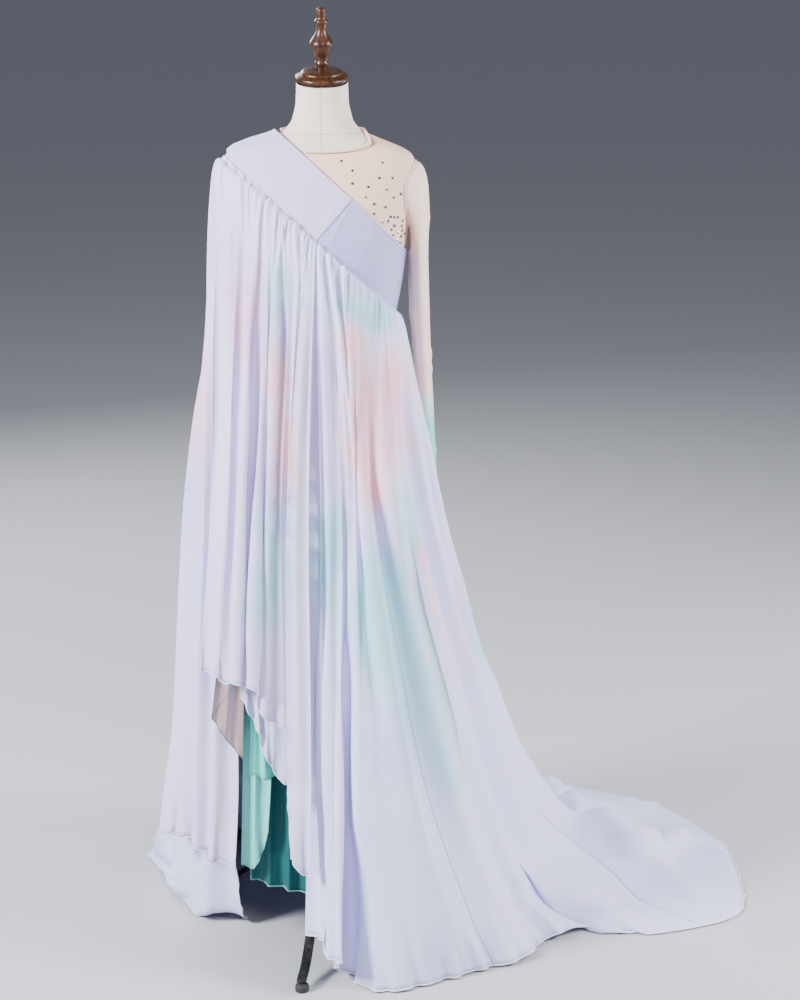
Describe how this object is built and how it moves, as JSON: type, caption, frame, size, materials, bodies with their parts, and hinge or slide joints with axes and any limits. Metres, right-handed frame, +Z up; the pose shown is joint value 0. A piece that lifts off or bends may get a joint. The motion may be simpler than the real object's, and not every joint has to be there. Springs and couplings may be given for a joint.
{
  "type": "dance gown on a limbless dress form with a tripod stand",
  "caption": "One-shoulder chiffon dance gown with nude bodysuit, satin sash, cape and train, on a limbless dress form with tripod stand.",
  "frame": {"origin": "on the floor, under the middle of the whole object's box", "axes": "+Z up, the front of the gown towards -Y, the train towards +X and +Y"},
  "size_m": [1.1782, 1.0674, 1.6964],
  "materials": {
    "ombre_chiffon": "sheer chiffon, soft sheen, dyed from white-lavender to mint and pink",
    "white_satin": "satin-backed crepe, low gloss",
    "nude_mesh": "fine stretch mesh, matte",
    "peach_chiffon": "sheer chiffon, matte",
    "mint_chiffon": "sheer chiffon, matte",
    "teal_chiffon": "sheer chiffon, matte",
    "cream_linen": "linen jersey stretched over a firm form, matte",
    "walnut": "turned, dark, glossy varnish",
    "black_steel": "black, satin",
    "black_rubber": "matte"
  },
  "bodies": {
    "root": {"cape_side": "ombre_chiffon", "cape_front": "ombre_chiffon", "cape_cascade": "ombre_chiffon", "overlay_strip": "ombre_chiffon", "skirt_front_left": "ombre_chiffon", "skirt_front": "ombre_chiffon", "skirt_side": "ombre_chiffon", "train_right": "ombre_chiffon", "train_corner": "ombre_chiffon", "train_back": "ombre_chiffon", "skirt_back": "ombre_chiffon", "skirt_left": "ombre_chiffon", "sash_front_upper": "white_satin", "sash_front_lower": "white_satin", "sash_back": "white_satin", "bodysuit_front": "nude_mesh", "bodysuit_back": "nude_mesh", "neck_binding": "nude_mesh", "sleeve_right": "nude_mesh", "sleeve_left": "nude_mesh", "peach_panel": "peach_chiffon", "mint_short_panel": "mint_chiffon", "mint_long_panel": "mint_chiffon", "teal_slip_panel": "teal_chiffon", "form_body": "cream_linen", "neck_cap": "walnut", "finial": "walnut", "pole": "black_steel", "hub": "black_steel", "leg_1": "black_steel", "leg_2": "black_steel", "leg_3": "black_steel", "foot_1": "black_rubber", "foot_2": "black_rubber", "foot_3": "black_rubber"}
  },
  "joints": []
}
